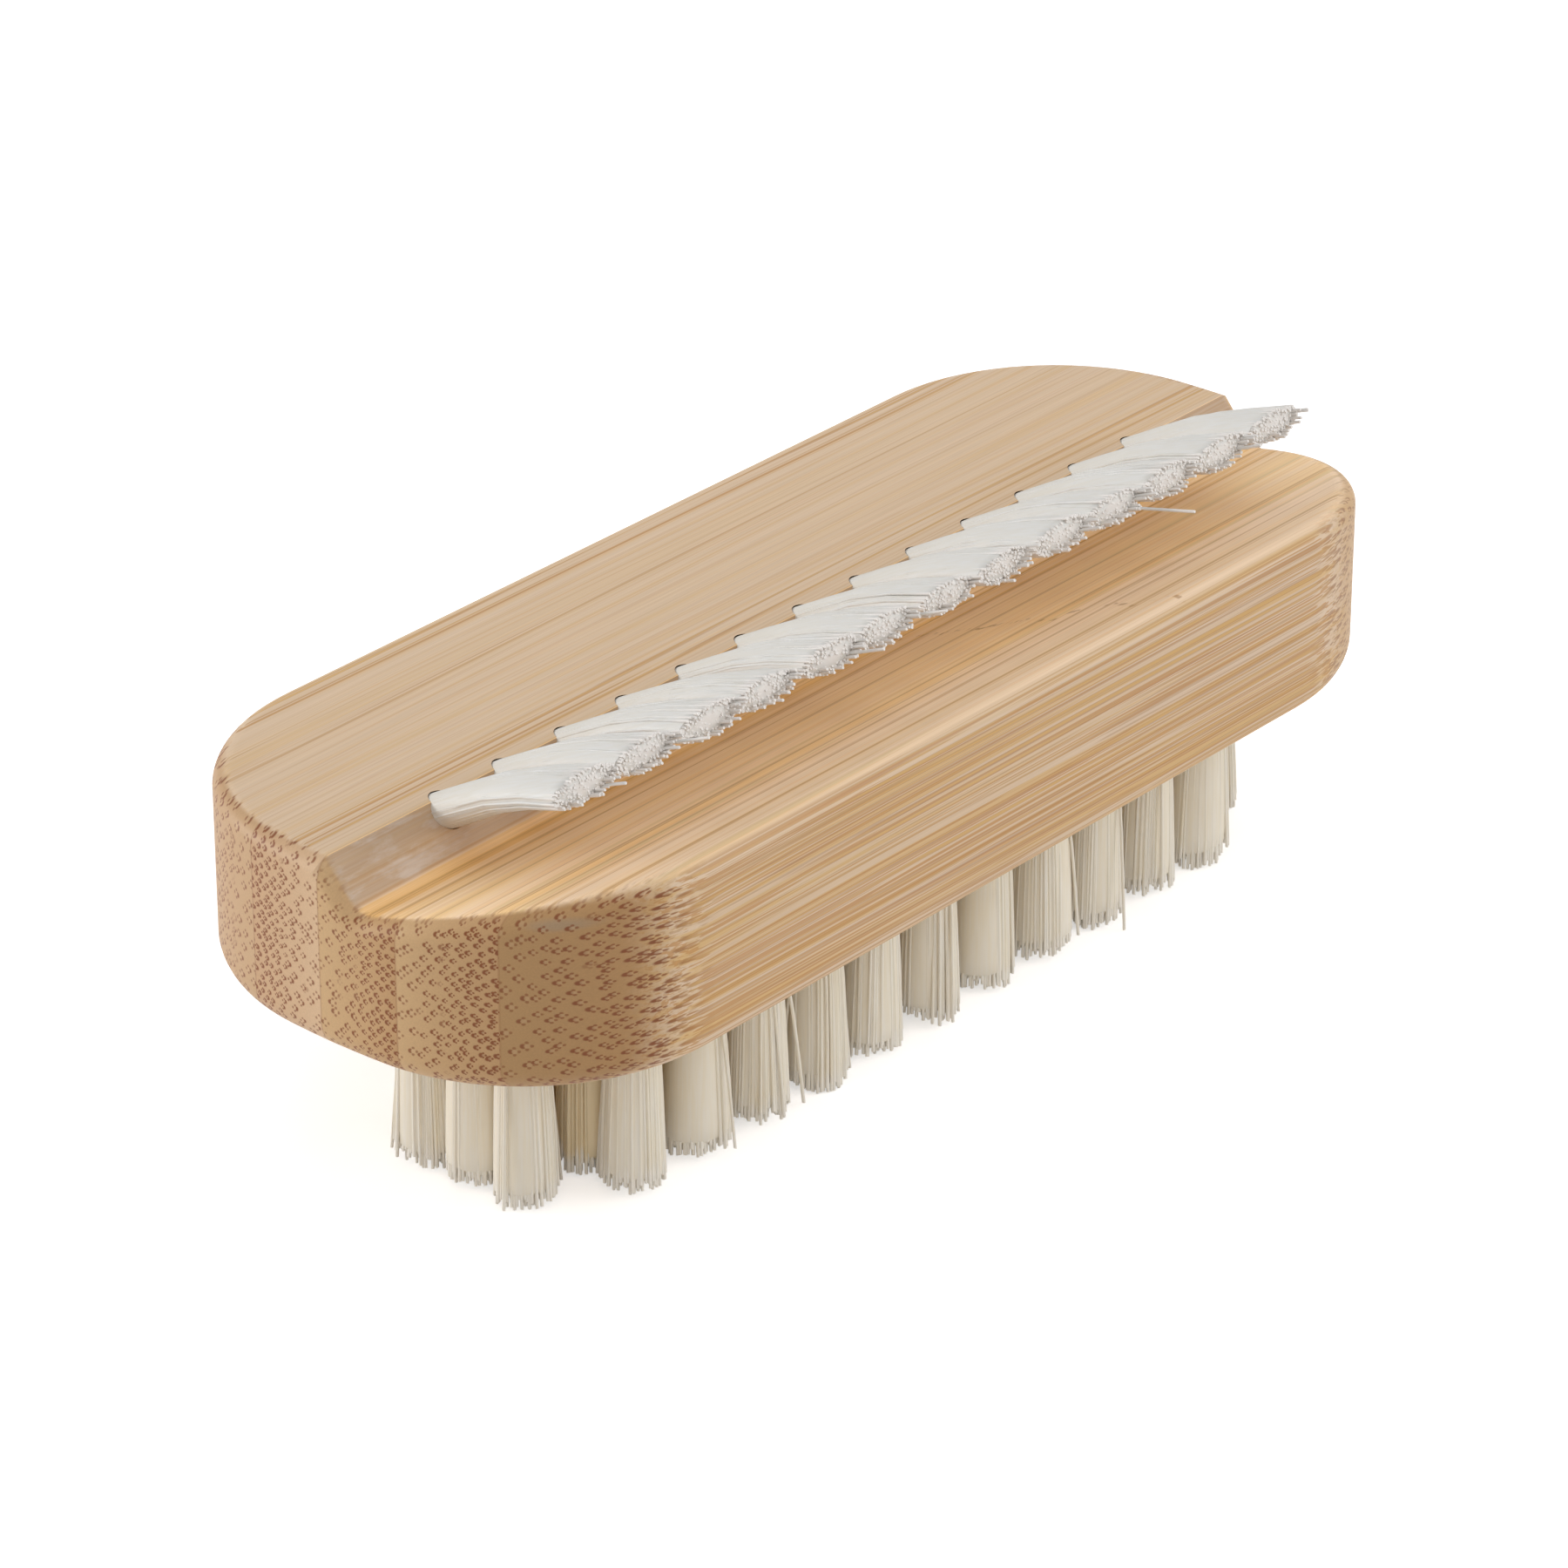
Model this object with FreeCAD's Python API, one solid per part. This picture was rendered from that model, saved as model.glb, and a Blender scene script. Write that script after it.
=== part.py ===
"""Nail brush: a laminated bamboo block with a scrub field below and a slanting nail row on top.

Millimetres. X runs along the block, +Z is up, and the front side with the ledge is at -Y.
The origin is under the middle of the block, on the plane of the scrub field's tips.
"""
import FreeCAD
import Part
import math
import os

from FreeCAD import Vector

# Block outline and height
block_length = 95.0
block_width = 38.0
block_height = 13.95
end_radius = 60.0
corner_spacing = 6.0
top_edge_radius = 1.3
bottom_edge_radius = 2.2

# Groove along the top: a steep riser that holds the nail row, and a ledge that climbs to the front
groove_depth = 3.3
groove_foot_radius = 1.6
riser_angle = 50.7
ledge_angle = 13.4

# Strips the block is laminated from, stood on edge side by side. Their middle seam lies a little behind the
# middle of the block, and the riser starts just in front of it
strip_count = 6
seam_offset = 0.3
riser_setback = 0.1

# Scrub field under the block, set a little towards the front
scrub_length = 13.3
scrub_hole_diameter = 3.2
scrub_hole_depth = 6.5
scrub_end_margin = 11.4
scrub_row_pitch = 4.3
scrub_row_counts = (11, 13, 13, 13, 11)
scrub_field_offset = 2.2
scrub_tip_gap = 0.25

# Nail row in the riser
nail_length = 12.8
nail_tip_depth = 3.2
nail_tip_gap = 0.5
nail_hole_diameter = 2.7
nail_hole_depth = 7.0
nail_hole_inset = 0.9
nail_end_margin = 11.55
nail_count = 13
nail_angle = 28.0

# Tufts are folded over a flat metal anchor that is driven across the hole
tuft_clearance = 0.05
hole_end_clearance = 0.2
fold_thickness = 0.8
anchor_thickness = 0.35
anchor_height = 1.6
anchor_bite = 0.4
anchor_skew = 45.0

# How far cutting shapes run past what they cut
overrun = 2.0

# Spacings that follow from the sizes above: corners round off what the bowed end leaves, rows reach to
# their end margins, and tips spread until they near their neighbours
corner_radius = (block_width - corner_spacing) / 2
strip_thickness = block_width / strip_count
scrub_pitch = (block_length - 2 * scrub_end_margin) / (max(scrub_row_counts) - 1)
scrub_tip_diameter = min(scrub_pitch, scrub_row_pitch) - scrub_tip_gap
nail_pitch = (block_length - 2 * nail_end_margin) / (nail_count - 1)
nail_tip_width = nail_pitch - nail_tip_gap

# Levels and places that follow from the sizes above
underside_z = scrub_length
top_z = underside_z + block_height
front_y = -block_width / 2
back_y = block_width / 2
riser_top_y = seam_offset - riser_setback
foot_z = top_z - groove_depth
foot_y = riser_top_y - groove_depth / math.tan(math.radians(riser_angle))
ledge_front_z = foot_z + (foot_y - front_y) * math.tan(math.radians(ledge_angle))
cutting_height = max(top_z, ledge_front_z) - underside_z + 2 * overrun
cutting_length = block_length + 2 * overrun

X_AXIS = Vector(1, 0, 0)
Z_AXIS = Vector(0, 0, 1)
DOWN = Vector(0, 0, -1)


def rounded_wire(corners):
    """Closed wire through (point, radius) corners, with a tangent arc at each corner that has a radius."""
    points = [point for point, radius in corners]
    stops = []
    for index, (point, radius) in enumerate(corners):
        to_last = (points[index - 1] - point).normalize()
        to_next = (points[(index + 1) % len(points)] - point).normalize()
        if radius == 0:
            stops.append((point, None, point))
            continue
        half_angle = to_last.getAngle(to_next) / 2
        tangent = radius / math.tan(half_angle)
        middle = (to_last + to_next).normalize()
        apex = point + middle * (radius / math.sin(half_angle) - radius)
        stops.append((point + to_last * tangent, apex, point + to_next * tangent))
    edges = []
    for index, (start, apex, end) in enumerate(stops):
        if apex is not None:
            edges.append(Part.Arc(start, apex, end).toShape())
        edges.append(Part.LineSegment(end, stops[(index + 1) % len(stops)][0]).toShape())
    return Part.Wire(edges)


def block_stock():
    """The moulded length: flat back half, riser, rounded foot and ledge."""
    start_x = -cutting_length / 2
    corners = [
        (Vector(start_x, back_y, underside_z), 0),
        (Vector(start_x, back_y, top_z), 0),
        (Vector(start_x, riser_top_y, top_z), 0),
        (Vector(start_x, foot_y, foot_z), groove_foot_radius),
        (Vector(start_x, front_y, ledge_front_z), 0),
        (Vector(start_x, front_y, underside_z), 0),
    ]
    section = Part.Face(rounded_wire(corners))
    return section.extrude(X_AXIS * cutting_length)


def outline_prism():
    """Upright prism of the plan outline: long straight sides, round corners and bowed ends."""
    end_centre_x = block_length / 2 - end_radius
    corner_y = corner_spacing / 2
    corner_x = end_centre_x + math.sqrt((end_radius - corner_radius) ** 2 - corner_y ** 2)
    join_angle = math.atan2(corner_y, corner_x - end_centre_x)

    def on_end(angle):
        return Vector(end_centre_x + end_radius * math.cos(angle), end_radius * math.sin(angle), 0)

    def on_corner(angle):
        radius = corner_radius
        return Vector(corner_x + radius * math.cos(angle), corner_y + radius * math.sin(angle), 0)

    def flipped(point, x_sign, y_sign):
        return Vector(x_sign * point.x, y_sign * point.y, underside_z - overrun)

    quarter_angle = (join_angle + math.pi / 2) / 2
    edges = []
    for x_sign in (1, -1):
        ends = [flipped(on_end(angle), x_sign, 1) for angle in (-join_angle, 0, join_angle)]
        edges.append(Part.Arc(*ends).toShape())
        for y_sign in (1, -1):
            turns = (join_angle, quarter_angle, math.pi / 2)
            corner = [flipped(on_corner(angle), x_sign, y_sign) for angle in turns]
            edges.append(Part.Arc(*corner).toShape())
    for y_sign in (1, -1):
        side = [flipped(on_corner(math.pi / 2), x_sign, y_sign) for x_sign in (-1, 1)]
        edges.append(Part.LineSegment(*side).toShape())
    outline = Part.Wire(Part.__sortEdges__(edges))
    return Part.Face(outline).extrude(Z_AXIS * cutting_height)


def level_edges(shape, level):
    """Edges that lie wholly at one height."""
    tolerance = shape.getTolerance(1)
    boxes = [(edge, edge.BoundBox) for edge in shape.Edges]
    return [edge for edge, box in boxes if max(abs(box.ZMin - level), abs(box.ZMax - level)) <= tolerance]


def rim_edges(shape):
    """Edges where the moulded top meets the upright sides and ends."""
    tolerance = shape.getTolerance(1)

    def upright(face):
        start_u, end_u, start_v, end_v = face.ParameterRange
        return abs(face.normalAt((start_u + end_u) / 2, (start_v + end_v) / 2).z) <= tolerance

    walls = [face for face in shape.Faces if upright(face)]
    tops = [face for face in shape.Faces if not upright(face) and face.BoundBox.ZMin > underside_z + tolerance]
    wall_edges = [edge for face in walls for edge in face.Edges]
    top_edges = [edge for face in tops for edge in face.Edges]
    return [edge for edge in top_edges if any(edge.isSame(other) for other in wall_edges)]


def block():
    """The block before drilling, rounded over all round the underside and all round the moulded top."""
    shape = block_stock().common(outline_prism()).Solids[0]
    rim = rim_edges(shape)
    shape = shape.makeFillet(top_edge_radius, rim)
    return shape.makeFillet(bottom_edge_radius, level_edges(shape, underside_z))


def place(mouth, outward):
    """Placement that carries +Z to a hole's outward axis and the origin to the middle of its mouth."""
    return FreeCAD.Placement(mouth, FreeCAD.Rotation(Z_AXIS, outward))


def hole(diameter, depth):
    """Blind drilled hole, mouth at the origin, running past the mouth so that it clears a slanting face."""
    return Part.makeCylinder(diameter / 2, depth + diameter, Vector(0, 0, -depth))


def anchor(hole_diameter, hole_depth):
    """Flat strip across the hole, near its bottom, whose ends bite into the wood on both sides."""
    length = hole_diameter + 2 * anchor_bite
    corner = Vector(-length / 2, -anchor_thickness / 2, hole_end_clearance + fold_thickness - hole_depth)
    shape = Part.makeBox(length, anchor_thickness, anchor_height, corner)
    shape.rotate(Vector(), Z_AXIS, anchor_skew)
    return shape


def tuft(hole_diameter, hole_depth, length, tip_width, tip_depth):
    """Bundle of filament: a root that fills the hole, folded round the anchor, and a head that flares."""
    root_radius = hole_diameter / 2 - tuft_clearance
    root_length = hole_depth - hole_end_clearance
    root = Part.makeCylinder(root_radius, root_length, Vector(0, 0, -root_length))
    fold_edge = level_edges(root, -root_length)
    root = root.makeFillet(min(fold_thickness, root_radius / 2), fold_edge)
    mouth = Part.Wire(Part.Circle(Vector(), Z_AXIS, root_radius).toShape())
    tip_curve = Part.Ellipse(Vector(), max(tip_width, tip_depth) / 2, min(tip_width, tip_depth) / 2)
    tip = Part.Wire(tip_curve.toShape())
    if tip_depth > tip_width:
        tip.rotate(Vector(), Z_AXIS, 90)
    tip.translate(Vector(0, 0, length))
    head = Part.makeLoft([mouth, tip], True, True)
    return root.fuse(head).removeSplitter().cut(anchor(hole_diameter, hole_depth)).Solids[0]


def spread(count, pitch):
    """Places of an even row, centred on zero."""
    return [(index - (count - 1) / 2) * pitch for index in range(count)]


def scrub_rows():
    """Placements of the scrub tufts, row by row from the front."""
    rows = []
    for row_y, count in zip(spread(len(scrub_row_counts), scrub_row_pitch), scrub_row_counts):
        field_y = row_y - scrub_field_offset
        rows.append([place(Vector(x, field_y, underside_z), DOWN) for x in spread(count, scrub_pitch)])
    return rows


def nail_row():
    """Placements of the nail tufts along the riser."""
    slope = math.radians(riser_angle)
    lean = math.radians(nail_angle)
    outward = Vector(0, -math.cos(lean), math.sin(lean))
    mouth_y = riser_top_y - nail_hole_inset * math.cos(slope)
    mouth_z = top_z - nail_hole_inset * math.sin(slope)
    return [place(Vector(x, mouth_y, mouth_z), outward) for x in spread(nail_count, nail_pitch)]


def placed(shape, placement):
    """Copy of a shape moved to a placement."""
    copy = shape.copy()
    copy.Placement = placement.multiply(copy.Placement)
    return copy


def bamboo_strips(drilled):
    """The drilled block parted at its glued seams, from the front strip to the back one."""
    seams = [seam_offset + y for y in spread(strip_count - 1, strip_thickness)]
    faces = [front_y, *seams, back_y]
    strips = []
    for start_y, end_y in zip(faces, faces[1:]):
        corner = Vector(-cutting_length / 2, start_y, underside_z - overrun)
        slab = Part.makeBox(cutting_length, end_y - start_y, cutting_height, corner)
        strips.append(drilled.common(slab).Solids[0])
    return strips


def write(name, shape):
    """One file per sub-part."""
    shape.exportStep(f"parts/{name}.step")


def main():
    os.makedirs("parts", exist_ok=True)
    scrub_places = scrub_rows()
    nail_places = nail_row()

    scrub_sizes = (scrub_hole_diameter, scrub_hole_depth)
    nail_sizes = (nail_hole_diameter, nail_hole_depth)
    scrub_tuft = tuft(*scrub_sizes, scrub_length, scrub_tip_diameter, scrub_tip_diameter)
    nail_tuft = tuft(*nail_sizes, nail_length, nail_tip_width, nail_tip_depth)

    cutters = []
    for sizes, placements in [(scrub_sizes, row) for row in scrub_places] + [(nail_sizes, nail_places)]:
        bore = hole(*sizes).fuse(anchor(*sizes))
        cutters.extend(placed(bore, placement) for placement in placements)
    drilled = block().cut(cutters)

    for number, strip in enumerate(bamboo_strips(drilled), 1):
        write(f"bamboo_strip_{number}", strip)
    for number, row in enumerate(scrub_places, 1):
        write(f"scrub_row_{number}", Part.makeCompound([placed(scrub_tuft, where) for where in row]))
        anchors = [placed(anchor(*scrub_sizes), where) for where in row]
        write(f"scrub_anchors_{number}", Part.makeCompound(anchors))
    for number, where in enumerate(nail_places, 1):
        write(f"nail_tuft_{number:02d}", placed(nail_tuft, where))
    write("nail_anchors", Part.makeCompound([placed(anchor(*nail_sizes), where) for where in nail_places]))


main()
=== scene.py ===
"""Looks of the nail brush: bamboo grain on the laminated block, and filament tufts for the tuft solids.

Metres, in the part's own frame: X along the block, +Z up, ledge and nail row towards -Y. Places inside the
materials are in millimetres.
"""
import math
from functools import reduce

import bpy
import numpy as np
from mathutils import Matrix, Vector


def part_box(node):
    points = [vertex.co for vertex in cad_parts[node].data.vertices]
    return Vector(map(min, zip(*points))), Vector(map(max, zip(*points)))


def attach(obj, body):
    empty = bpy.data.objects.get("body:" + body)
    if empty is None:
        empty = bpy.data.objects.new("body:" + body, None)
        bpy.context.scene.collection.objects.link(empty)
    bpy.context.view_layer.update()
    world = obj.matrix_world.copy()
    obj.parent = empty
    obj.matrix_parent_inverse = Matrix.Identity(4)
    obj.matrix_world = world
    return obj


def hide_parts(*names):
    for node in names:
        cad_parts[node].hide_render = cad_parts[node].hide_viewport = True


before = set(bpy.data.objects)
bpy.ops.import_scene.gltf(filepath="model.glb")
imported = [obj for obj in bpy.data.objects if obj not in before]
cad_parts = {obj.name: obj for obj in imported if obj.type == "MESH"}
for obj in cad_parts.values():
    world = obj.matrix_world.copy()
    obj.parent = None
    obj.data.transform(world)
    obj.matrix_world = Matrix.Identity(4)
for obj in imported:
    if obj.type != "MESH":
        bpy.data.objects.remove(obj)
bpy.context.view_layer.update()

mm = 0.001
chance = np.random.default_rng(11)

# Block, from the frame
block_strips = 6
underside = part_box("bamboo_strip_3")[0].z
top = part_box("bamboo_strip_5")[1].z

# Where the photograph was taken from: the aim is a point over the middle of the underside
camera_azimuth = math.radians(-49.4)
camera_elevation = math.radians(27.5)
camera_distance = 472 * mm
camera_lens = 159.1
camera_sensor = 36
camera_clip = 10 * mm
camera_aim_height = 7.5 * mm
camera_aim_right = -1.6 * mm
camera_aim_up = -6.0 * mm

# Softboxes: how far to the camera's right, away from the camera and up they stand, their two sides, and watts
softboxes = {
    "key_left": (-0.9, 0.1, 0.16, 0.6, 0.3, 4.1),
    "side_right": (0.9, -0.05, 0.34, 0.6, 0.3, 2.6),
    "overhead": (0.15, -0.1, 1.0, 1.8, 1.8, 5.2),
    "front_fill": (0.0, -1.0, 0.5, 0.6, 0.6, 1.1),
}
softbox_aim = Vector((0, 0, 20 * mm))

# White floor and white all round: what the floor glows by to the camera, how strong a light the white is, and
# how many times light is passed on
floor_size = 8.0
floor_white = 0.9
floor_roughness = 0.9
floor_glow = 0.52
world_light = 0.4
light_bounces = 10

# One filament: flats round it, spans along it, how far off square its tip is cut, and how deep its root is
filament_flats = 5
filament_spans = 4
filament_cut_slant = 0.12
root_depth = 1.6 * mm

# The heart of a tuft, which the outer filaments are half sunk in: how its rings crowd towards the tip,
# and how far the rounded tip closes in
heart_flats = 32
heart_spans = 9
heart_crowding = 2.5
heart_tip_share = 0.15

# Faces that meet at less than this are shaded as one
smooth_angle = math.radians(75)

# How filaments are spread over a tuft of radius 1: how far those of the rim stray along it, as a share of
# their spacing, and inwards, how far out the others reach, and how far they stray
rim_jitter_share = 0.35
rim_unevenness = 0.015
inside_reach = 0.94
inside_jitter = 0.25

# Scrub tufts. The opening shapes how they widen from root to tip: under 1, most of it comes early
scrub_counts = (11, 13, 13, 13, 11)
scrub_tip_radius = 2.2 * mm
scrub_root_radius = 1.5 * mm
scrub_opening = 0.65
scrub_length = underside
scrub_rim_filaments = 74
scrub_filaments = 184
scrub_filament_radius = 0.12 * mm
scrub_clumps = 12

# Their heart covers the middle of the outer filaments by a little, and ends before their tips
scrub_heart_cover = 0.055 * mm
scrub_heart_setback = 0.65 * mm
scrub_heart_round = 1.1 * mm

# How uneven they are: thickness of filaments, width of tufts, and how far things lean and bow by chance
scrub_thickness_share = (0.9, 1.1)
scrub_width_share = (0.92, 1.06)
scrub_tuft_lean = 0.12 * mm
scrub_clump_lean = 0.1 * mm
scrub_filament_lean = 0.05 * mm
scrub_clump_bow = 0.03 * mm
scrub_filament_bow = 0.015 * mm

# How they are cut: a slope by chance, some filaments short as teeth, the others nearly even, and a few strays
scrub_trim = 0.15 * mm
scrub_cut_slope = 0.08
scrub_clump_short = 0.25 * mm
scrub_even_short = 0.3 * mm
scrub_tooth_share = 0.45
scrub_tooth_short = (0.4 * mm, 1.0 * mm)
scrub_stray_share = 0.03
scrub_stray_lean = 0.6 * mm
scrub_stray_past = 0.3 * mm

# Shades run from 0, pale, to 1, warm. The first is the heart's, and the filaments' on the whole
scrub_shade = 0.45
scrub_filament_shades = 0.2
scrub_clump_shades = 0.15

# What the shade of a tuft inside the scrub field is raised by, which marks it off from the outer ones so that
# it takes the painted shade of the field's inside
inner_shade = 2.0

# Nail tufts: how far the middle of a hole's mouth lies in front of the middle and below the top, and how the
# tuft runs on from there. Its tips are cut off upright, so the upper filaments are longer
nail_count = 13
nail_angle = math.radians(28)
nail_mouth_y = -0.37 * mm
nail_mouth_drop = 0.78 * mm
nail_length = 13.3 * mm
nail_cut_slant = 0.6
nail_droop = 0.5 * mm
nail_arch = 0.6 * mm
nail_root_radius = 1.22 * mm
nail_tip_spread = 2.7 * mm
nail_tip_lift = 0.95 * mm
nail_opening = 0.9
nail_rim_filaments = 64
nail_filaments = 224
nail_filament_radius = 0.115 * mm
nail_clumps = 14

# Their heart comes out to the tips
nail_heart_cover = 0.085 * mm
nail_heart_setback = -0.05 * mm
nail_heart_round = 0.25 * mm

# How uneven they are, as for the scrub tufts
nail_thickness_share = (0.88, 1.1)
nail_width_share = (0.94, 1.05)
nail_tuft_lean = 0.2 * mm
nail_clump_lean = 0.05 * mm
nail_filament_lean = 0.05 * mm
nail_filament_bow = 0.02 * mm
nail_clump_short = 0.05 * mm
nail_filament_short = 0.06 * mm

# A fringe of longer filaments on one side of the cut: which way that side lies, along the block and up, how
# far over and how far out the fringe starts, how many filaments are in it, and how far they stand out
nail_fringe_side = (0.6, -0.8)
nail_fringe_start = 0.25
nail_fringe_rim = 0.75
nail_fringe_share = 0.45
nail_fringe_past = (0.2 * mm, 1.2 * mm)

# Shades, as for the scrub tufts
nail_shade = 0.4
nail_filament_shades = 0.18
nail_clump_shades = 0.12

# Long strays of the nail row, in millimetres: which tuft, how far along the block and up from its middle they
# end, how far they stand out past the cut, and how far the last quarter of the filament is bent down. Their
# roots lie a little way in from the rim
nail_strays = (
    (1, 2.2, -1.3, 1.1, 0.0),
    (2, 2.6, -0.9, 2.9, 0.0),
    (5, 2.3, -1.2, 2.4, 0.0),
    (6, 2.5, -0.8, 2.8, 0.0),
    (9, 2.4, -0.9, 1.3, 0.0),
    (10, 2.6, -0.6, 1.5, 0.0),
    (10, 2.2, -1.5, 4.6, 0.9),
    (12, 2.0, -1.0, 1.6, 0.0),
)
nail_stray_root_share = 0.8
nail_stray_shade = 0.2


class Wire:
    """One value in a material. Arithmetic on it adds Math nodes."""

    def __init__(self, finish, socket):
        self.finish = finish
        self.socket = socket

    def math(self, operation, *values):
        return self.finish.node("ShaderNodeMath", {"operation": operation}, dict(enumerate(values)))

    def __add__(self, other):
        return self.math("ADD", self, other)

    def __radd__(self, other):
        return self.math("ADD", other, self)

    def __sub__(self, other):
        return self.math("SUBTRACT", self, other)

    def __rsub__(self, other):
        return self.math("SUBTRACT", other, self)

    def __mul__(self, other):
        return self.math("MULTIPLY", self, other)

    def __rmul__(self, other):
        return self.math("MULTIPLY", other, self)

    def __truediv__(self, other):
        return self.math("DIVIDE", self, other)

    def __pow__(self, other):
        return self.math("POWER", self, other)

    def __abs__(self):
        return self.math("ABSOLUTE", self)

    def least(self, other):
        return self.math("MINIMUM", self, other)

    def most(self, other):
        return self.math("MAXIMUM", self, other)

    def grade(self, start, more):
        """The start where this is 0, and so much more where it is 1."""
        return self * more + start

    def outputs(self):
        """All outputs of the node that this comes from, by name."""
        return {socket.name: Wire(self.finish, socket) for socket in self.socket.node.outputs}


class Finish:
    """A material, or the world, in the making. node() adds any node and gives back one of its outputs."""

    def __init__(self, owner, shader="Principled BSDF"):
        self.owner = owner
        owner.use_nodes = True
        self.tree = owner.node_tree
        self.shader = self.tree.nodes[shader]

    def node(self, kind, settings=None, sockets=None, out=0):
        node = self.tree.nodes.new(kind)
        for name, value in (settings or {}).items():
            setattr(node, name, value)
        self.plug(node, sockets or {})
        return Wire(self, node.outputs[out])

    def plug(self, node, sockets):
        for key, value in sockets.items():
            if isinstance(value, Wire):
                self.tree.links.new(value.socket, node.inputs[key])
            else:
                node.inputs[key].default_value = value

    def surface(self, **sockets):
        self.plug(self.shader, {name.replace("_", " "): value for name, value in sockets.items()})
        return self.owner

    def step(self, value, start, end):
        """0 before start, 1 after end, smooth between."""
        settings = {"interpolation_type": "SMOOTHSTEP"}
        return self.node("ShaderNodeMapRange", settings, {"Value": value, "From Min": start, "From Max": end})

    def mix(self, share, first, second):
        """Colour between two colours."""
        return self.node("ShaderNodeMix", {"data_type": "RGBA"}, {0: share, 6: first, 7: second}, out=2)

    def vector(self, operation, *values, **named):
        sockets = dict(enumerate(values))
        sockets.update(named)
        return self.node("ShaderNodeVectorMath", {"operation": operation}, sockets)

    def join(self, x, y, z):
        return self.node("ShaderNodeCombineXYZ", None, {0: x, 1: y, 2: z})

    def split(self, vector):
        parts = self.node("ShaderNodeSeparateXYZ", None, {0: vector}).outputs()
        return parts["X"], parts["Y"], parts["Z"]

    def noise(self, vector, detail=2.0, roughness=0.5, out=0):
        sockets = {"Vector": vector, "Scale": 1.0, "Detail": detail, "Roughness": roughness}
        return self.node("ShaderNodeTexNoise", None, sockets, out)

    def place(self):
        """Where a point lies on the brush, in millimetres."""
        return self.vector("SCALE", self.node("ShaderNodeTexCoord", out="Object"), Scale=1 / mm)


def colour(red, green, blue):
    return (red, green, blue, 1.0)


# Bamboo colours: pith along the grain, pith on the cut ends, and fibre along and across the grain
pith_pale = colour(0.715, 0.53, 0.36)
pith_pink = colour(0.75, 0.58, 0.43)
pith_gold = colour(0.70, 0.485, 0.25)
pith_olive = colour(0.50, 0.36, 0.165)
# Amber: partly the wood's own tone, partly painted warm shade under the nail row
amber_and_shade = colour(0.80, 0.45, 0.13)
end_pale = colour(0.66, 0.45, 0.275)
end_gold = colour(0.65, 0.43, 0.225)
# End brown: partly the grain's own colour, partly painted shade that is deepest on the corner strip
end_brown_and_shade = colour(0.41, 0.235, 0.095)
fibre_yellow = colour(0.68, 0.42, 0.15)
fibre_orange = colour(0.53, 0.26, 0.08)
fibre_brown = colour(0.37, 0.17, 0.055)
fibre_end = colour(0.20, 0.05, 0.008)
# Riser tone: partly the wood's own colour, partly painted shade under the nail row
riser_tone_and_shade = colour(0.48, 0.35, 0.25)
scuff_white = colour(0.66, 0.56, 0.48)
smudge_grey = colour(0.30, 0.25, 0.19)

# Each strip's density of fibre at its front and its back face, how golden its pith is, and how brown its ends,
# partly the grain's own colour and partly painted shade, deepest on the corner strip
strip_density = ((0.85, 0.1), (1.1, 0.05), (1.1, 0.0), (0.05, 1.1), (0.1, 0.55), (0.2, 0.8))
strip_gold = (0.55, 0.9, 0.8, 0.1, 0.2, 0.3)
strip_brown_and_shade = (0.95, 0.3, 0.3, 0.05, 0.5, 0.5)

# Grain, as noise through the strip: waves in a millimetre along and across, detail, roughness, and the axis
# along which each strip has a shift of its own
drift_grain = (0.014, 0.2, 1.0, 0.5, 0)
broad_grain = (0.007, 0.45, 2.0, 0.5, 1)
streak_grain = (0.009, 1.7, 2.0, 0.5, 2)
line_grain = (0.012, 4.6, 2.0, 0.6, 0)
fine_grain = (0.09, 9.0, 3.0, 0.6, 1)
olive_grain = (0.011, 0.8, 3.0, 0.5, 1)
scuff_grain = (0.3, 0.9, 4.0, 0.6, None)
strip_shift = 17.0

# Noise lies between 0 and 1, about its middle. How far the grain drifts sideways with it
noise_middle = 0.5
drift_reach = 1.0

# Fibre bundles by layer: their spacing, and the stretch of density that the layer covers, from the open
# inside of the cane to its dense outside. They stand on a lattice turned by an eighth, a little scattered
bundle_layers = ((1.04, -0.5, 0.28), (0.78, 0.28, 0.56), (0.57, 0.56, 1.5))
layer_blend = 0.01
lattice_turn = math.pi / 4
bundle_scatter = 0.5

# One bundle, drawn at a spacing of its own and scaled to the others: places of its cap of fibre, its pale eye
# and its strands. A pair of sizes or strengths is the one at no density, and what full density adds
bundle_spacing = 0.88
bundle_cap = (-0.13, 0.0)
bundle_eye = (0.03, 0.0)
bundle_strands = ((0.03, 0.2), (0.03, -0.2), (0.23, 0.0))
cap_radius = (0.12, 0.15)
eye_radius = 0.13
strand_radius = (0.085, 0.035)
strand_strength = (0.7, 0.25)
bundle_strength = (0.85, 0.3)
eye_strength = (0.95, -0.5)
spot_edge = (0.6, 1.25)
few_range = (0.45, 0.6)

# How far a face has to turn before it counts as a cut end, for its ground and for its fibre, or as a side
end_ground_turn = (0.14, 0.45)
end_fibre_turn = (0.03, 0.3)
side_turn = (0.45, 0.9)

# Pith on the long faces, and what is laid over it in turn: which grain, where in it the streak starts and is
# full, its share on the top, what the sides add to that, and its colour
gold_range = (0.35, 0.65)
long_streaks = (
    ("streak", 0.5, 0.37, 0.25, 0.3, pith_pink),
    ("streak", 0.53, 0.63, 0.28, 0.37, fibre_yellow),
    ("line", 0.55, 0.59, 0.21, 0.54, fibre_orange),
    ("line", 0.41, 0.37, 0.05, 0.33, fibre_brown),
)

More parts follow.
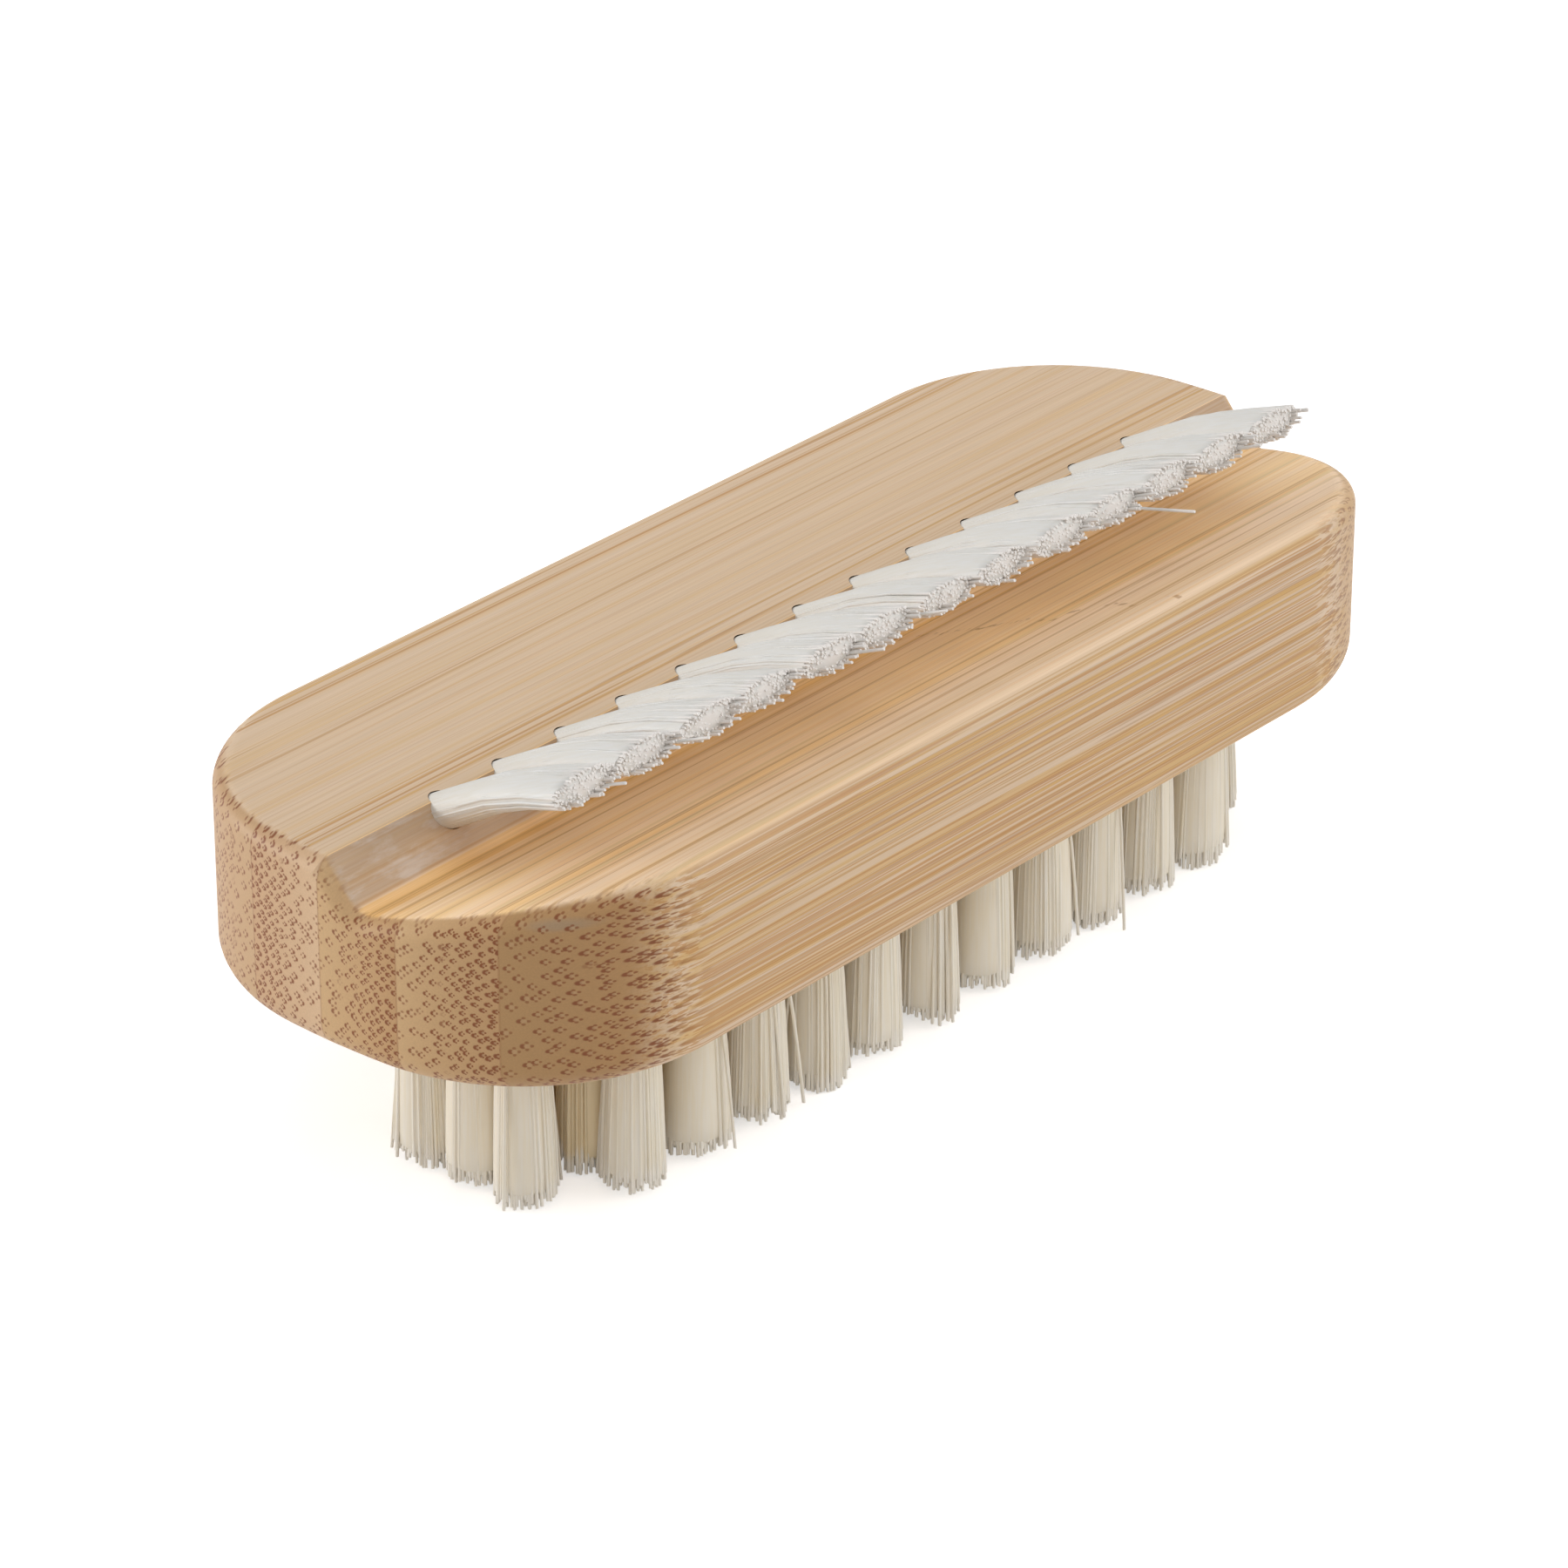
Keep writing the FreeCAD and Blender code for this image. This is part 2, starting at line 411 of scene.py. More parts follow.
# Ledge: olive patches, painted light that brightens all of it as much as at its rim and more under the nail row
# to soften the row's shadow, and amber at the groove's foot, partly the wood's own tone and partly painted warm
# shade. Bundles are fainter on it
ledge_turn = (0.7, 0.95)
ledge_fading = 0.55
olive_range = (0.55, 0.66)
olive_share = 0.45
painted_light_under_row_y = (-16.5, -11.5)
ledge_painted_light = (0.22, 0.18)
groove_foot_y = -2.5
foot_amber_and_shade_reach = (0.4, 5.5)
amber_and_shade_range = (0.4, 0.6)
amber_and_shade_share = (0.35, 0.4)

# A joint of the cane that crosses the ledge on a slant, as a wandering line of ticks
joint_x = 11.5
joint_y = -11.0
joint_slant = 0.8
joint_wander = 4
joint_edge = (0.1, 0.35)
tick_along = 0.4
tick_across = 2.2
tick_range = (0.48, 0.56)
tick_share = 0.6

# Riser of the groove: which strip carries it, its darker pinkish-grey tone, which is partly painted shade under
# the nail row, and scuffs that are stronger at the near end
riser_strip = 3
riser_turn = (0.3, 0.7)
riser_y = (-4.0, -3.0)
riser_fading = 0.7
riser_tone_and_shade_share = 0.75
scuff_range = (0.46, 0.7)
scuff_share = (0.1, 0.6)
near_end_x = (-42.0, -26.0)

# Cut ends: paler at the far end of the block, and browner where fibre is dense
far_x = (0.0, 20.0)
far_paling = 0.8
dense_share = (0.4, -0.25)

# A grey smudge under the rim of the front strip's near end, and how far it spreads
smudge_y = -15.2
smudge_z = underside / mm + 12.4
smudge_length = 2.2
smudge_height = 0.6
smudge_edge = (0.2, 1.0)
smudge_share = 0.4
near_half_x = (0.0, 1.0)

# Fibre over the ground: its tones, its share along the grain and what the ends add, and its rims and eyes
fibre_range = (0.4, 0.6)
fibre_share = (0.85, 0.1)
far_fading = 0.4
fibre_rim_share = 0.28
eye_share = 0.1

# Glue lines: where they start and are full, in from the face, their share and what the ends add, and how
# faint they are on the outer strips
glue_start = 0.09
glue_full = 0.03
glue_share = (0.06, 0.22)
outer_glue_share = 0.6

# Surface: tint of the fine grain, painted shade on the front and back faces, pores and bundles as relief, and a
# satin gloss
fine_tint = (0.85, 0.3)
side_painted_shade = 0.09
fine_height = 0.5
bundle_depth = 0.12
relief_strength = 0.2
relief_depth = 0.015 * mm
satin_roughness = 0.38
satin_fine = 0.16
satin_streak = 0.12
satin_index = 1.42


class Strip(Finish):
    """Bamboo of one strip, as a solid grain along X: bundles are dots on the ends, streaks on the sides."""

    def __init__(self, number):
        super().__init__(bpy.data.materials.new(f"bamboo_{number}"))
        self.number = number
        self.shift = number * strip_shift
        self.front, self.back = (corner.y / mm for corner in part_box(f"bamboo_strip_{number}"))
        self.thickness = self.back - self.front
        self.at_front, self.at_back = strip_density[number - 1]
        self.at = self.split(self.place())
        self.find_faces()
        self.grow_grain()

    def find_faces(self):
        x, y = self.at[:2]
        normal_x, normal_y, normal_z = self.split(self.node("ShaderNodeTexCoord", out="Normal"))
        self.end_ground = self.step(abs(normal_x), *end_ground_turn)
        self.end_fibre = self.step(abs(normal_x), *end_fibre_turn)
        self.side = self.step(abs(normal_y), *side_turn)
        self.riser = self.step(normal_y * -1, *riser_turn) * self.step(y, *riser_y)
        self.ledge = self.step(normal_z, *ledge_turn) * (1.0 if self.number <= riser_strip else 0.0)
        self.far = self.step(x, *far_x)

    def grow_grain(self):
        """Grain at several sizes. All but the finest drifts a little on its way along the strip."""
        x, y, z = self.at
        drift_y, drift_z = self.split(self.grain(drift_grain, self.at, "Color"))[:2]
        drifted_y = y + (drift_y - noise_middle) * drift_reach
        drifted_z = z + (drift_z - noise_middle) * drift_reach
        self.drifted = (x, drifted_y, drifted_z)
        self.broad = self.grain(broad_grain, self.drifted)
        self.streak = self.grain(streak_grain, self.drifted)
        self.line = self.grain(line_grain, self.drifted)
        self.fine = self.grain(fine_grain, self.at)

    def grain(self, size, at, out=0):
        along, across, detail, roughness, shifted_axis = size
        waves = [at[0] * along, at[1] * across, at[2] * across]
        if shifted_axis is not None:
            waves[shifted_axis] = waves[shifted_axis] + self.shift
        return self.noise(self.join(*waves), detail, roughness, out)

    def density(self, y):
        """How densely the cane is packed with fibre at a place across the strip."""
        return (y - self.front) * ((self.at_back - self.at_front) / self.thickness) + self.at_front

    def bundles(self):
        """Fibre bundles: all their fibre, their eyes, and the fibre of every few bundles alone."""
        layers = [self.bundle_layer(*layer) for layer in bundle_layers]
        return [reduce(Wire.most, kind) for kind in zip(*layers)]

    def bundle_layer(self, spacing, low, high):
        """Bundles cut across: a thick cap of fibre, a pale eye, and three smaller strands round it."""
        y = self.drifted[1]
        z = self.drifted[2] + self.shift
        flat = self.join(y / spacing, z / spacing, 0.0)
        in_plane = {"rotation_type": "Z_AXIS"}
        turned = self.node("ShaderNodeVectorRotate", in_plane, {"Vector": flat, "Angle": lattice_turn})
        sockets = {"Vector": turned, "Scale": 1.0, "Randomness": bundle_scatter}
        cells = self.node("ShaderNodeTexVoronoi", {"voronoi_dimensions": "2D"}, sockets).outputs()
        sockets = {"Vector": cells["Position"], "Angle": -lattice_turn}
        centre_y, centre_z = self.split(self.node("ShaderNodeVectorRotate", in_plane, sockets))[:2]
        scale = bundle_spacing / spacing
        inward = 1.0 if self.at_front > self.at_back else -1.0
        across = (y - centre_y * spacing) * (-inward * scale)
        up = (z - centre_z * spacing) * scale
        density = self.density(centre_y * spacing).least(1).most(0)
        shown = self.step(density, low - layer_blend, low + layer_blend)
        shown = shown * (1 - self.step(density, high - layer_blend, high + layer_blend))

        def spot(middle, radius):
            gap = ((across - middle[0]) ** 2 + (up - middle[1]) ** 2) ** 0.5
            return 1 - self.step(gap / radius, *spot_edge)

        cap = spot(bundle_cap, density.grade(*cap_radius))
        eye = spot(bundle_eye, eye_radius)
        strand = density.grade(*strand_radius)
        strands = reduce(Wire.most, [spot(middle, strand) for middle in bundle_strands])
        fibre = cap.most(strands * density.grade(*strand_strength)) * density.grade(*bundle_strength).least(1)
        dark = (fibre - eye * density.grade(*eye_strength)).most(0) * shown
        few = dark * self.step(self.split(cells["Color"])[0], *few_range)
        return dark, eye * shown, few

    def long_face(self):
        """Pith along the grain, with streaks and lines of fibre laid over it."""
        grains = {"streak": self.streak, "line": self.line}
        gold = self.step(self.broad, *gold_range) * strip_gold[self.number - 1]
        face = self.mix(gold, pith_pale, pith_gold)
        for grain, start, full, on_top, sides_add, tint in long_streaks:
            share = self.step(grains[grain], start, full) * self.side.grade(on_top, sides_add)
            face = self.mix(share, face, tint)
        if self.number <= riser_strip:
            face = self.ledge_face(face)
        if self.number == riser_strip:
            face = self.riser_face(face)
        return face

    def ledge_face(self, face):
        x, y = self.at[:2]
        olive = self.step(self.grain(olive_grain, self.at), *olive_range)
        face = self.mix(olive * self.ledge * olive_share, face, pith_olive)
        # Painted light: the whole ledge is made brighter, and more so under the nail row, where the row's
        # shadow falls
        lift = self.ledge * self.step(y, *painted_light_under_row_y).grade(*ledge_painted_light) + 1.0
        face = self.vector("SCALE", face, Scale=lift)
        # Amber at the groove's foot: partly the wood's tone, partly painted warm shade under the nail row
        foot_amber_and_shade = 1 - self.step(abs(y - groove_foot_y), *foot_amber_and_shade_reach)
        face = self.mix(foot_amber_and_shade * self.step(self.streak, *amber_and_shade_range).grade(*amber_and_shade_share), face, amber_and_shade)
        wander = (self.broad - noise_middle) * joint_wander
        from_joint = x - joint_x + (y - joint_y) * joint_slant + wander
        joint = 1 - self.step(abs(from_joint), *joint_edge)
        ticks = self.noise(self.join(x * tick_along, y * tick_across, self.shift))
        return self.mix(joint * self.step(ticks, *tick_range) * self.ledge * tick_share, face, fibre_brown)

    def riser_face(self, face):
        near_end = 1 - self.step(self.at[0], *near_end_x)
        scuff = self.step(self.grain(scuff_grain, self.at), *scuff_range)
        # Riser tone, partly painted shade under the nail row
        face = self.mix(self.riser * riser_tone_and_shade_share, face, riser_tone_and_shade)
        return self.mix(scuff * self.riser * near_end.grade(*scuff_share), face, scuff_white)

    def end_face(self):
        """Pith cut across."""
        x, y, z = self.at
        # Browner ends: partly the grain's own colour, partly painted shade towards the corner strip
        brown_and_shade = strip_brown_and_shade[self.number - 1] * (1 - self.far * far_paling)
        face = self.mix(brown_and_shade, end_gold if self.number <= riser_strip else end_pale, end_brown_and_shade)
        face = self.mix(self.density(y).most(0) * self.far.grade(*dense_share), face, fibre_brown)
        if self.number == 1:
            gap = (((y - smudge_y) / smudge_length) ** 2 + ((z - smudge_z) / smudge_height) ** 2) ** 0.5
            smudge = (1 - self.step(gap, *smudge_edge)) * self.step(x * -1, *near_half_x)
            face = self.mix(smudge * smudge_share, face, smudge_grey)
        return face

    def glue(self):
        from_middle = abs(self.at[1] - (self.front + self.back) / 2)
        half = self.thickness / 2
        line = self.step(from_middle, half - glue_start, half - glue_full)
        inner = 1.0 if 1 < self.number < block_strips else outer_glue_share
        return line * self.end_ground.grade(*glue_share) * inner

    def bamboo(self):
        """The finished material: ground, then fibre with darker rims and pale eyes, then glue lines.

        A rim is strongest, at 1, where the fibre has faded to a half.
        """
        dark, eyes, few = self.bundles()
        fibres = few + (dark - few) * self.end_fibre.most(self.side)
        fibres = fibres * (1 - self.riser * riser_fading) * (1 - self.ledge * ledge_fading)
        along = self.mix(self.step(self.line, *fibre_range), fibre_orange, fibre_yellow)
        fibre = self.mix(self.end_fibre, along, fibre_end)
        strength = self.end_fibre.grade(*fibre_share) * (1 - self.far * self.end_fibre * far_fading)
        rim = fibres * (1 - fibres) * 4 * (1 - self.end_fibre)
        face = self.mix(self.end_ground, self.long_face(), self.end_face())
        face = self.mix(fibres * strength, face, fibre)
        face = self.mix(rim * fibre_rim_share, face, fibre_brown)
        face = self.mix(eyes * eye_share, face, pith_pale)
        face = self.mix(self.glue(), face, fibre_end)
        # Painted shade: the front and back faces are made a little darker
        tint = self.fine.grade(*fine_tint) * (1 - self.side * side_painted_shade)
        face = self.vector("SCALE", face, Scale=tint)
        height = self.fine * fine_height - dark * bundle_depth
        sockets = {"Strength": relief_strength, "Distance": relief_depth, "Height": height}
        relief = self.node("ShaderNodeBump", None, sockets)
        rough = self.fine * satin_fine + self.streak * satin_streak + satin_roughness
        return self.surface(Base_Color=face, Roughness=rough, Normal=relief, IOR=satin_index)


# Bristle colours, with honey as painted shade on the tufts inside the scrub field and the nail bloom as painted
# light on the nail cut ends, and how far up a filament the painted shade at its root reaches
scrub_cream = colour(0.84, 0.80, 0.72)
scrub_straw = colour(0.81, 0.73, 0.57)
scrub_honey_shade = colour(0.80, 0.65, 0.39)
scrub_root_shade_reach = 0.7
nail_white = colour(0.735, 0.73, 0.715)
nail_ivory = colour(0.705, 0.67, 0.60)
nail_cut_painted_light = colour(0.80, 0.765, 0.73)
nail_root_shade_reach = 0.5

# Streaks along the filaments: waves in a millimetre across them, and how much of the run along is left out
bristle_waves = 5.0
bristle_run_share = 0.96
bristle_streak_range = (0.35, 0.65)

# How warm the shade attribute, streaks and painted shade at the roots make a filament, how deep the painted
# shade of inner tufts is, and where the cut end, painted lighter, starts
shade_warmth = 0.45
streak_warmth = 0.35
root_shade_warmth = 0.4
root_shade_start = 0.05
inner_range = (1.2, 1.8)
inner_painted_shade = 0.7
painted_light_cut_range = (0.88, 0.97)
nylon_roughness = (0.35, 0.3)
nylon_index = 1.4


def bristle(name, pale, warm, deep_shade, cut, run, root_shade_reach):
    """Nylon filament: milky, in streaks of pale and warm cream along its run, with painted shade that warms it
    towards the roots.

    Tufts inside the field get painted shade, deeper in colour, and cut ends painted light, a little brighter.
    """
    finish = Finish(bpy.data.materials.new(name))
    shade = finish.node("ShaderNodeAttribute", {"attribute_name": "shade"}, out="Fac")
    along = finish.node("ShaderNodeAttribute", {"attribute_name": "along"}, out="Fac")
    place = finish.place()
    travel = finish.node("ShaderNodeVectorMath", {"operation": "DOT_PRODUCT"}, {0: place, 1: run}, "Value")
    across = finish.vector("SUBTRACT", place, finish.vector("SCALE", run, Scale=travel * bristle_run_share))
    streaks = finish.noise(finish.vector("SCALE", across, Scale=bristle_waves))
    inner = finish.step(shade, *inner_range)
    # Painted shade: filaments warm and darken towards their roots
    root = 1 - finish.step(along, root_shade_start, root_shade_reach)
    tone = (shade - inner * inner_shade) * shade_warmth
    tone = tone + finish.step(streaks, *bristle_streak_range) * streak_warmth + root * root_shade_warmth
    base = finish.mix(tone.least(1), pale, warm)
    # Painted shade: tufts inside the scrub field take the deep honey colour
    base = finish.mix(inner * inner_painted_shade, base, deep_shade)
    # Painted light: the cut ends are made paler and brighter
    base = finish.mix(finish.step(along, *painted_light_cut_range), base, cut)
    return finish.surface(Base_Color=base, Roughness=streaks.grade(*nylon_roughness), IOR=nylon_index)


# Anchor strip: waves in a millimetre along it and up it, its two greys, and its roughness
steel_along = 1.2
steel_up = 30.0
steel_dark = colour(0.5, 0.5, 0.49)
steel_bright = colour(0.68, 0.68, 0.66)
steel_roughness = (0.25, 0.25)


def anchor_steel():
    """Drawn strip: fine lines along it, in colour and gloss."""
    finish = Finish(bpy.data.materials.new("anchor_steel"))
    x, y, z = finish.split(finish.place())
    lines = finish.noise(finish.join(x * steel_along, y * steel_along, z * steel_up))
    base = finish.mix(lines, steel_dark, steel_bright)
    return finish.surface(Base_Color=base, Roughness=lines.grade(*steel_roughness), Metallic=1.0)


def pattern(flats, spans):
    """A rod of unit radius and length, standing on its root, with rings to bend at and a cut tip."""
    bpy.ops.object.select_all(action="DESELECT")
    bpy.ops.mesh.primitive_cylinder_add(vertices=flats, radius=1, depth=1, location=(0, 0, 0.5))
    rod = bpy.context.object
    bpy.ops.object.transform_apply(location=True, rotation=True, scale=True)
    bpy.ops.object.mode_set(mode="EDIT")
    for ring in range(1, spans):
        bpy.ops.mesh.select_all(action="SELECT")
        bpy.ops.mesh.bisect(plane_co=(0, 0, ring / spans), plane_no=(0, 0, 1))
    bpy.ops.object.mode_set(mode="OBJECT")
    corners = np.array([corner.co for corner in rod.data.vertices])
    faces = [tuple(face.vertices) for face in rod.data.polygons]
    bpy.data.objects.remove(rod)
    return corners, faces


filament_pattern = pattern(filament_flats, filament_spans)
heart_pattern = pattern(heart_flats, heart_spans)


def on_circle(radius, angle):
    return np.stack([radius * np.cos(angle), radius * np.sin(angle)], 1)


def tuft_points(rim_count, count):
    """Points of a disc of radius 1: a full ring round its rim, and the others spread evenly inside.

    Those inside follow one another outwards, each turned on by the golden angle.
    """
    jitter = chance.uniform(-rim_jitter_share, rim_jitter_share, rim_count)
    rim_radius = 1 - np.abs(chance.normal(0, rim_unevenness, rim_count))
    rim = on_circle(rim_radius, (np.arange(rim_count) + jitter) * 2 * math.pi / rim_count)
    index = np.arange(count - rim_count)
    radius = inside_reach * np.sqrt((index + 0.5) / len(index))
    inside = on_circle(radius, index * math.pi * (3 - math.sqrt(5)) + chance.uniform(0, 2 * math.pi))
    inside = inside + chance.normal(0, inside_jitter / math.sqrt(count), inside.shape)
    return np.concatenate([rim, inside])


def clumps(count, points, clump_count):
    """Which clump each point of a disc belongs to: the nearest of a few chosen ones."""
    seeds = points[chance.choice(count, clump_count, replace=False)]
    gaps = np.linalg.norm(points[:, None, :] - seeds[None, :, :], axis=2)
    return gaps.argmin(1)


def bent(root, tip, reach, length, bow, opening):
    """Where lines from their roots to their tips have got to at a reach out of the hole."""
    flare = np.clip(reach / length, 0, None)
    return root + (tip - root) * (flare ** opening)[..., None] + bow * np.sin(math.pi * flare)[..., None]


def to_world(mouth, axes, across, reach):
    side, lift, out = (np.array(axis) for axis in axes)
    return mouth + across[..., :1] * side + across[..., 1:] * lift + reach[..., None] * out


def run_filaments(mouth, axes, root, tip, length, radius, bow, opening, kink=0.0):
    """Copies of the filament, each bent along its own line from its root, in the hole, to its tip.

    A kink lowers the tip itself, so that the last quarter of the filament hangs.
    """
    corners = filament_pattern[0]
    share = corners[:, 2]
    reach = share[None, :] * (length + root_depth)[:, None] - root_depth
    line = bent(root[:, None, :], tip[:, None, :], reach, length[:, None], bow[:, None, :], opening)
    turn = chance.uniform(0, 2 * math.pi, len(root))[:, None]
    round_x = np.cos(turn) * corners[:, 0] - np.sin(turn) * corners[:, 1]
    round_y = np.sin(turn) * corners[:, 0] + np.cos(turn) * corners[:, 1]
    ring = np.stack([round_x, round_y], 2) * radius[:, None, None]
    slant = chance.normal(0, filament_cut_slant, (len(root), 1, 2))
    at_tip = np.isclose(share, 1)
    reach = reach + (ring * slant).sum(2) * at_tip
    line[:, :, 1] -= kink * at_tip
    return to_world(mouth, axes, line + ring, reach)


def run_heart(mouth, axes, root, tip, lean, length, rounding, slope, bow, opening, cover):
    """The heart of a tuft: the whole bundle's shape, rounded off on the same slope as its tips."""
    corners = heart_pattern[0]
    from_tip = (1 - corners[:, 2]) ** heart_crowding * (length + root_depth)
    rounded = np.clip(1 - from_tip / rounding, 0, 1 - heart_tip_share ** 2)
    ring = corners[:, :2] * np.sqrt(1 - rounded ** 2)[:, None]
    tip = ring * (tip + cover) + lean
    reach = length - from_tip + (tip @ slope) * corners[:, 2]
    line = bent(ring * (root + cover), tip, reach, length, bow, opening)
    return to_world(mouth, axes, line, reach)[None]


class Bundle:
    """A mesh in the making, from copies of patterns, each copy with its own shade."""

    def __init__(self):
        self.corners, self.faces, self.shades, self.along = [], [], [], []
        self.count = 0

    def add(self, pattern, points, shades):
        corners, faces = pattern
        for number in range(len(points)):
            start = self.count + number * len(corners)
            self.faces.extend(tuple(start + corner for corner in face) for face in faces)
        self.count += len(points) * len(corners)
        self.corners.append(points.reshape(-1, 3))
        self.shades.append(np.repeat(shades, len(corners)))
        self.along.append(np.tile(corners[:, 2], len(points)))

    def piece(self, name, finish, slot, node):
        """The finished piece, which stands for a node of tuft solids."""
        mesh = bpy.data.meshes.new(name)
        mesh.from_pydata(np.concatenate(self.corners).tolist(), [], self.faces)
        for title, values in (("shade", self.shades), ("along", self.along)):
            mesh.attributes.new(title, "FLOAT", "POINT").data.foreach_set("value", np.concatenate(values))
        piece = bpy.data.objects.new(name, mesh)
        bpy.context.collection.objects.link(piece)
        bpy.ops.object.select_all(action="DESELECT")
        piece.select_set(True)
        bpy.context.view_layer.objects.active = piece
        bpy.ops.object.shade_smooth_by_angle(angle=smooth_angle)
        mesh.materials.append(finish)
        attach(piece, "root")
        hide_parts(node)


def scrub_tuft(bundle, x, y, inner):
    """One scrub tuft: fills its hole, opens a little towards the tips, and is cut unevenly."""
    count = scrub_filaments
    spread = tuft_points(scrub_rim_filaments, count)
    group = clumps(count, spread, scrub_clumps)
    root = spread * scrub_root_radius
    clump_lean = chance.normal(0, scrub_clump_lean, (scrub_clumps, 2))
    tuft_lean = chance.normal(0, scrub_tuft_lean, 2)
    width = scrub_tip_radius * chance.uniform(*scrub_width_share)
    tip = spread * width + clump_lean[group] + tuft_lean + chance.normal(0, scrub_filament_lean, (count, 2))
    strays = chance.random(count) < scrub_stray_share
    tip = tip + chance.normal(0, scrub_stray_lean, (count, 2)) * strays[:, None]
    slope = chance.normal(0, scrub_cut_slope, 2)
    clump_short = np.abs(chance.normal(0, scrub_clump_short, scrub_clumps))
    toothed = chance.random(count) < scrub_tooth_share
    tooth_short = chance.uniform(*scrub_tooth_short, count)
    even_short = chance.uniform(0, scrub_even_short, count)
    short = np.where(toothed, tooth_short, even_short)
    length = scrub_length - scrub_trim - short - clump_short[group] + tip @ slope
    length = np.minimum(length + strays * scrub_stray_past, scrub_length - scrub_filament_radius)
    radius = scrub_filament_radius * chance.uniform(*scrub_thickness_share, count)
    bow = chance.normal(0, scrub_filament_bow, (count, 2))
    bow = bow + chance.normal(0, scrub_clump_bow, (scrub_clumps, 2))[group]
    mouth = np.array((x, y, underside))
    axes = ((1, 0, 0), (0, -1, 0), (0, 0, -1))
    shade = chance.normal(scrub_shade, scrub_filament_shades, count)
    shade = shade + chance.normal(0, scrub_clump_shades, scrub_clumps)[group]
    filaments = run_filaments(mouth, axes, root, tip, length, radius, bow, scrub_opening)
    depth = inner_shade if inner else 0.0
    bundle.add(filament_pattern, filaments, np.clip(shade, 0, 1) + depth)
    heart = run_heart(
        mouth, axes, scrub_root_radius, width, tuft_lean,
        scrub_length - scrub_heart_setback, scrub_heart_round, slope, np.zeros(2), scrub_opening,
        scrub_heart_cover)
    bundle.add(heart_pattern, heart, np.array([scrub_shade + depth]))


def nail_tuft(bundle, number, x):
    """One nail tuft: pinched in its hole, arched, fanned along the block and cut off upright and rough."""
    count = nail_filaments
    spread = tuft_points(nail_rim_filaments, count)
    group = clumps(count, spread, nail_clumps)
    root = spread * nail_root_radius
    clump_lean = chance.normal(0, nail_clump_lean, (nail_clumps, 2))
    fan = np.array((nail_tip_spread, nail_tip_lift)) * chance.uniform(*nail_width_share)
    shift = np.array((chance.normal(0, nail_tuft_lean), -nail_droop))
    tip = spread * fan + clump_lean[group] + shift + chance.normal(0, nail_filament_lean, (count, 2))
    ragged = chance.normal(0, nail_filament_short, count)
    ragged = ragged + chance.normal(0, nail_clump_short, nail_clumps)[group]
    fringe = spread @ np.array(nail_fringe_side) > nail_fringe_start
    fringe = fringe & (np.linalg.norm(spread, axis=1) > nail_fringe_rim)
    fringe = fringe & (chance.random(count) < nail_fringe_share)
    ragged = ragged + fringe * chance.uniform(*nail_fringe_past, count)
    length = nail_length + ragged + nail_cut_slant * tip[:, 1]
    radius = nail_filament_radius * chance.uniform(*nail_thickness_share, count)
    arch = np.array((0, nail_arch))
    bow = chance.normal(0, nail_filament_bow, (count, 2)) + arch
    lean = (math.cos(nail_angle), math.sin(nail_angle))
    axes = ((1, 0, 0), (0, lean[1], lean[0]), (0, -lean[0], lean[1]))
    shade = chance.normal(nail_shade, nail_filament_shades, count)
    shade = shade + chance.normal(0, nail_clump_shades, nail_clumps)[group]
    mouth = np.array((x, nail_mouth_y, top - nail_mouth_drop))
    filaments = run_filaments(mouth, axes, root, tip, length, radius, bow, nail_opening)
    bundle.add(filament_pattern, filaments, np.clip(shade, 0, 1))
    slope = np.array((0, nail_cut_slant))
    heart = run_heart(
        mouth, axes, nail_root_radius, fan, shift,
        nail_length - nail_heart_setback, nail_heart_round, slope, arch, nail_opening, nail_heart_cover)
    bundle.add(heart_pattern, heart, np.array([nail_shade]))
    for tuft, along, rise, past, kink in nail_strays:
        if tuft == number:
            stray_tip = np.array([[along, rise]]) * mm
            stray_root = stray_tip / fan * nail_root_radius * nail_stray_root_share
            stray_length = np.array([nail_length + past * mm])
            stray_radius = np.array([nail_filament_radius])
            stray = run_filaments(
                mouth, axes, stray_root, stray_tip, stray_length, stray_radius, arch[None], nail_opening,
                kink * mm)
            bundle.add(filament_pattern, stray, np.array([nail_stray_shade]))


def make_scrub_field():
    colours = (scrub_cream, scrub_straw, scrub_honey_shade, scrub_cream)
    finish = bristle("scrub_bristle", *colours, (0, 0, 1), scrub_root_shade_reach)
    for number, count in enumerate(scrub_counts, 1):
        low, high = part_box(f"scrub_row_{number}")
        row_y = (low.y + high.y) / 2
        tip = (high.y - low.y) / 2
        bundle = Bundle()
        inner_row = 1 < number < len(scrub_counts)
        for place, x in enumerate(np.linspace(low.x + tip, high.x - tip, count), 1):
            scrub_tuft(bundle, x, row_y, inner_row and 1 < place < count)
        bundle.piece(f"scrub_bristles_{number}", finish, "scrub_bristle", f"scrub_row_{number}")


def make_nail_row():
    colours = (nail_white, nail_ivory, nail_ivory, nail_cut_painted_light)
    run = (0, -math.cos(nail_angle), math.sin(nail_angle))
    finish = bristle("nail_bristle", *colours, run, nail_root_shade_reach)
    for number in range(1, nail_count + 1):
        low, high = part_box(f"nail_tuft_{number:02d}")
        bundle = Bundle()
        nail_tuft(bundle, number, (low.x + high.x) / 2)
        bundle.piece(f"nail_bristles_{number:02d}", finish, "nail_bristle", f"nail_tuft_{number:02d}")


def dress_block():
    for number in range(1, block_strips + 1):
        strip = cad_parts[f"bamboo_strip_{number}"]
        strip.data.materials.clear()
        strip.data.materials.append(Strip(number).bamboo())
    steel = anchor_steel()
    for name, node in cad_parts.items():
        if "anchors" in name:
            node.data.materials.clear()
            node.data.materials.append(steel)


